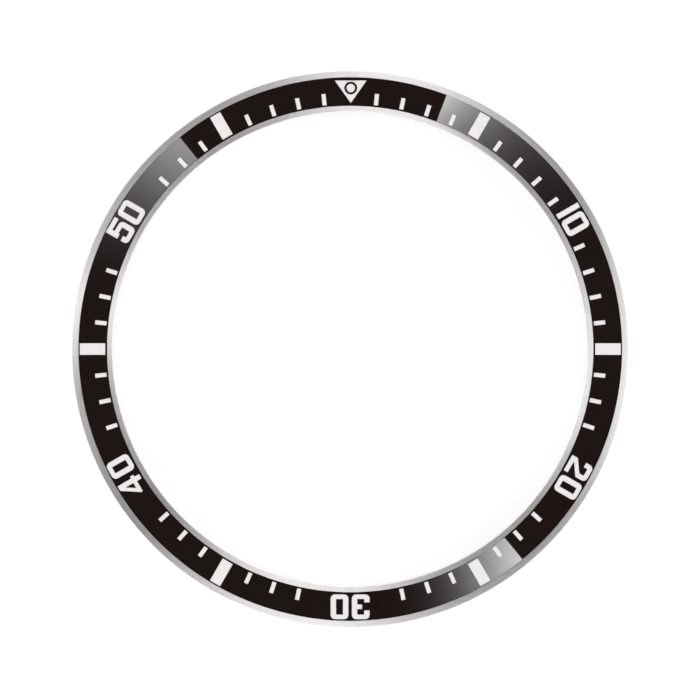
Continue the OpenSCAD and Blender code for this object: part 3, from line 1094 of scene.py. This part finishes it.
class BEZEL_OT_zero(BezelPart, bpy.types.Operator):
    """Make the zero triangle with the cup and the pip that sit in it"""

    bl_idname = "bezel.zero"
    bl_label = "Zero triangle"

    def execute(self, context):
        plan = Plan(context.scene)
        scale = plan.scale
        soft, below = scale.soft_edge, scale.fill_below

        loops = [triangle_loop(plan), pip_circle(plan, scale.cup_radius)[::-1]]
        shape = sunk_shape(plan, loops, scale.pocket, -below, soft)
        triangle = shape_object(plan, "enamel_triangle", "white_enamel", shape)
        hand_over(triangle, RING, "white_enamel", "zero_triangle")

        wall_out = scale.cup_radius - scale.cup_fit
        wall_in = scale.cup_radius - scale.cup_wall
        floor = -scale.cup_depth + scale.cup_floor
        edge = scale.cup_edge
        cut_back = edge * CHAMFER_BACK
        profile = [
            (0.0, -scale.cup_depth),
            (wall_out, -scale.cup_depth),
            (wall_out, -edge),
            (wall_out - cut_back, -cut_back),
            (wall_out - edge, 0.0),
            (wall_in + edge, 0.0),
            (wall_in + cut_back, -cut_back),
            (wall_in, -edge),
            (wall_in, floor),
            (0.0, floor),
        ]
        cup = shape_object(plan, "pip_ring", "gloss_black", spun_shape(plan, profile))
        hand_over(cup, RING, "gloss_black", "pip_cup", sharp=CUP_SHARP_ABOVE)

        radius, shoulder = wall_in - scale.cup_fit, CROWN_DEEP * soft
        profile = [(0.0, floor), (radius, floor), (radius, -shoulder)]
        for i in range(1, CROWN_STEPS):
            at = math.pi / 2 * i / CROWN_STEPS
            profile.append((radius * math.cos(at), (shoulder - below) * math.sin(at) - shoulder))
        profile.append((0.0, -below))
        pip = shape_object(plan, "enamel_pip", "white_enamel", spun_shape(plan, profile))
        hand_over(pip, RING, "white_enamel", "lume_pip")
        return {"FINISHED"}


def flat_ring(plan, name, slot, box, low_edge, high_edge):
    """A thin ring that takes its height and its outside from its CAD node's box."""
    (_, _, low), (_, outer, high) = box
    inner = plan.tape_in
    corners = [
        (inner, low, low_edge),
        (outer, low, low_edge),
        (outer, high, high_edge),
        (inner, high, high_edge),
    ]
    return turned(plan, name, slot, corners)


class BEZEL_OT_tapes(BezelPart, bpy.types.Operator):
    """Lay the foam tape under the flange and give the insert's tape its finish"""

    bl_idname = "bezel.tapes"
    bl_label = "Adhesive tapes"

    def execute(self, context):
        plan = Plan(context.scene)
        edge = plan.body.foam_edge
        piece = flat_ring(plan, "foam_tape", "adhesive_foam", TAPE_BOX, edge, 0.0)
        hand_over(piece, RING, "adhesive_foam", "mounting_tape")
        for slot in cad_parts["insert_tape"].material_slots:
            slot.material = finish(plan, "adhesive_foam")
        return {"FINISHED"}


class BEZEL_OT_liner(BezelPart, bpy.types.Operator):
    """Lay the release liner under the foam tape"""

    bl_idname = "bezel.liner"
    bl_label = "Release liner"

    def execute(self, context):
        plan = Plan(context.scene)
        edge = plan.body.film_edge
        piece = flat_ring(plan, "liner_ring", "liner_film", LINER_BOX, edge, edge)
        hand_over(piece, LINER, "liner_film", "release_liner")
        return {"FINISHED"}


def clock_point(clock, radius, height):
    """A point at a clock angle in degrees, from twelve and clockwise."""
    at = math.radians(clock)
    return Vector((radius * math.sin(at), radius * math.cos(at), height))


def room_world(studio):
    """A room with pale walls and a dark ceiling."""
    world = bpy.data.worlds.new("pale_room")
    world.use_nodes = True
    graph = Graph(world.node_tree)
    way = graph.add("ShaderNodeTexCoord").outputs["Generated"]
    levels = (studio.wall_top, studio.ceiling, studio.pale_level, studio.dark_level)
    tone = graph.spread(graph.split(way)[2], *levels, "SMOOTHSTEP")
    background = world.node_tree.nodes["Background"]
    graph.feed(background.inputs["Strength"], tone)
    background.inputs["Color"].default_value = WHITE_LIGHT
    return world


def bare_material(name):
    """A material with an empty node tree, and its graph."""
    material = bpy.data.materials.new(name)
    material.use_nodes = True
    material.node_tree.nodes.clear()
    return material, Graph(material.node_tree)


def floor_material(studio):
    """A white floor that keeps the shadow and is clear when seen from below."""
    material, graph = bare_material("white_floor")
    rays = graph.add("ShaderNodeLightPath").outputs
    seen = graph.math("MAXIMUM", rays["Is Camera Ray"], rays["Is Glossy Ray"])
    seen = graph.math("MAXIMUM", seen, rays["Is Transmission Ray"])
    away = graph.reach(graph.add("ShaderNodeTexCoord").outputs["Object"])
    levels = (studio.glow_near, studio.glow_far, studio.glow_low, 1.0)
    shine = graph.glow(graph.spread(away, *levels, "SMOOTHSTEP"))
    shown = graph.out("ShaderNodeAddShader", {0: graph.diffuse(studio.floor_dim), 1: shine})
    top = graph.either(seen, graph.diffuse(studio.floor_tone), shown)
    under = graph.add("ShaderNodeNewGeometry").outputs["Backfacing"]
    both = graph.either(under, top, graph.out("ShaderNodeBsdfTransparent"))
    graph.add("ShaderNodeOutputMaterial", {"Surface": both})
    return material


# Each card: clock angle of its sharp edge, the way it fades (1 is clockwise), its reach in
# degrees, how far it leans from dim inside to bright outside, its brightness, and two rates
# of its fade
CARDS = (
    (20.8, 1.0, 46.0, 0.2, 12.0, 0.124, 0.0),
    (140.7, 1.0, 34.0, 0.16, 13.4, 0.052, 0.005),
    (321.2, -1.0, 40.0, 0.08, 6.95, 0.037, 0.0028),
)
# Each lamp: its clock angle, its width against the studio's lamp side, and its brightness
LAMPS = (
    (6.5, 1.0, 1.0),
    (56.2, 0.26, 0.27),
    (92.2, 1.5, 1.01),
    (190.8, 1.29, 1.01),
    (279.3, 0.26, 2.7),
    (320.0, 0.42, 0.27),
)
FILL_LAMP = (278.0, 1.0, 0.6)


def soft_lamp(studio, name, tilt, clock, wide, bright):
    """A soft lamp that looks at the ring from a clock angle and a tilt."""
    light = bpy.data.lights.new(name, "AREA")
    light.shape = "RECTANGLE"
    light.size = studio.lamp_side * wide
    light.size_y = studio.lamp_side
    light.energy = studio.lamp_power * wide * bright
    lamp = put(name, light)
    flat = studio.lamp_far * math.sin(tilt)
    lamp.location = clock_point(clock, flat, studio.lamp_far * math.cos(tilt))
    lamp.rotation_euler = lamp.location.to_track_quat("Z", "Y").to_euler()
    lamp.visible_camera = False
    return lamp


def mirrored_sheet(name, material, rows, closed, vertices, **attributes):
    """A card or a flag, which only glossy faces see, from rows of points."""
    wide = len(vertices) // rows
    faces = []
    for low in range(0, (rows - 1) * wide, wide):
        for i in range(wide if closed else wide - 1):
            k = (i + 1) % wide
            faces.append((low + i, low + k, low + wide + k, low + wide + i))
    mesh = new_mesh(name, vertices, faces, **attributes)
    mesh.materials.append(material)
    thing = put(name, mesh)
    thing.visible_camera = False
    thing.visible_diffuse = False
    thing.visible_transmission = False
    thing.visible_shadow = False


def card_material(name, bright, fade, fade_more):
    """Light that falls off along a card's sweep."""
    material, graph = bare_material(name)
    sweep, gain = graph.attribute("sweep"), graph.attribute("gain")
    faded = graph.total(graph.product(sweep, fade), graph.product(sweep, sweep, fade_more))
    fall = graph.math("EXPONENT", graph.product(faded, -1.0))
    shine = graph.glow(graph.product(fall, bright, gain))
    graph.add("ShaderNodeOutputMaterial", {"Surface": shine})
    return material


def reflector_card(studio, index, clock, way, reach, lean, bright, fade, fade_more):
    """A curved card overhead that only glossy faces see, bright at one end."""
    columns = (
        (studio.card_inner, -lean),
        (studio.lean_from, -lean),
        (studio.lean_to, lean),
        (studio.card_outer, lean),
    )
    vertices, sweeps, gains = [], [], []
    for i in range(CARD_STEPS + 1):
        sweep = reach * i / CARD_STEPS
        for radius, extra in columns:
            vertices.append(clock_point(clock + way * sweep, radius, studio.card_height))
            sweeps.append(sweep)
            gains.append(1 + extra * (1 - i / CARD_STEPS))
    name = f"reflector_card_{index}"
    material = card_material(name, bright, fade, fade_more)
    mirrored_sheet(name, material, CARD_STEPS + 1, False, vertices, sweep=sweeps, gain=gains)


def flag_material(studio):
    """Dark cloth that fades out towards its edges."""
    material, graph = bare_material("dark_flag")
    clear, cloth = graph.out("ShaderNodeBsdfTransparent"), graph.glow(studio.flag_level)
    both = graph.either(graph.attribute("cover"), clear, cloth)
    graph.add("ShaderNodeOutputMaterial", {"Surface": both})
    return material


def ease(value, low, high):
    """Eases from 0 to 1 as a value goes from low to high."""
    part = min(1.0, max(0.0, (value - low) / (high - low)))
    return part * part * (3 - 2 * part)


def dark_flags(studio):
    """Dark flags round the ring, which give its upright steel something to mirror."""
    vertices, covers = [], []
    for row in range(FLAG_ROWS + 1):
        up = row / FLAG_ROWS
        for i in range(FLAG_STEPS):
            clock = 360 * i / FLAG_STEPS
            vertices.append(clock_point(clock, studio.flag_radius, studio.flag_height * up))
            dense = ease(math.cos(math.radians(FLAGS * clock)), *FLAG_SIDES)
            across = FLAG_THIN + (1 - FLAG_THIN) * dense
            covers.append(across * (1 - ease(up, *FLAG_FADE)))
    cloth = flag_material(studio)
    mirrored_sheet("dark_flags", cloth, FLAG_ROWS + 1, True, vertices, cover=covers)


class BEZEL_OT_studio(BezelPart, bpy.types.Operator):
    """Set up the floor, the room, the lamps, the reflector cards and the camera"""

    bl_idname = "bezel.studio"
    bl_label = "Studio"

    def execute(self, context):
        scene = context.scene
        studio = scene.bezel_studio
        scene.view_settings.view_transform = "Standard"
        scene.world = room_world(studio)

        half = studio.floor_half
        square = [(-half, -half, 0.0), (half, -half, 0.0), (half, half, 0.0), (-half, half, 0.0)]
        mesh = new_mesh("floor", square, [(0, 1, 2, 3)])
        mesh.materials.append(floor_material(studio))
        floor = put("floor", mesh)

        for index, lamp in enumerate(LAMPS):
            soft_lamp(studio, f"soft_lamp_{index}", studio.lamp_tilt, *lamp)
        # The fill lamp only lightens the marks at nine, and shows in no mirroring face
        soft_lamp(studio, "fill_lamp", studio.fill_tilt, *FILL_LAMP).visible_glossy = False

        for index, card in enumerate(CARDS):
            reflector_card(studio, index, *card)
        dark_flags(studio)

        camera = put("camera", bpy.data.cameras.new("camera"))
        camera.data.lens = studio.lens
        camera.data.clip_start = 0.01
        camera.data.clip_end = 20.0
        camera.location = (studio.offset_x, studio.offset_y, studio.camera_height)
        scene.camera = camera
        return {"FINISHED"}


OPERATORS = (
    BEZEL_OT_studio,
    BEZEL_OT_ring,
    BEZEL_OT_insert,
    BEZEL_OT_ticks,
    BEZEL_OT_bars,
    BEZEL_OT_numerals,
    BEZEL_OT_zero,
    BEZEL_OT_tapes,
    BEZEL_OT_liner,
)


class BEZEL_PT_panel(bpy.types.Panel):
    """Lists the pieces of the bezel ring and their sizes"""

    bl_idname = "BEZEL_PT_panel"
    bl_label = "Bezel ring"
    bl_space_type = "VIEW_3D"
    bl_region_type = "UI"
    bl_category = "Bezel ring"

    def draw(self, context):
        for operator in OPERATORS:
            self.layout.operator(operator.bl_idname, text=operator.bl_label)
        for group in GROUPS:
            settings = getattr(context.scene, group)
            box = self.layout.box()
            box.label(text=settings.bl_rna.description)
            for key in settings.__annotations__:
                box.prop(settings, key)


CLASSES = (*GROUPS.values(), *OPERATORS, BEZEL_PT_panel)


def register():
    for made in CLASSES:
        bpy.utils.register_class(made)
    for name, group in GROUPS.items():
        setattr(bpy.types.Scene, name, PointerProperty(type=group))


def unregister():
    for name in GROUPS:
        delattr(bpy.types.Scene, name)
    for made in reversed(CLASSES):
        bpy.utils.unregister_class(made)


def main():
    register()
    for operator in OPERATORS:
        area, name = operator.bl_idname.split(".")
        getattr(getattr(bpy.ops, area), name)()


if __name__ == "__main__":
    main()
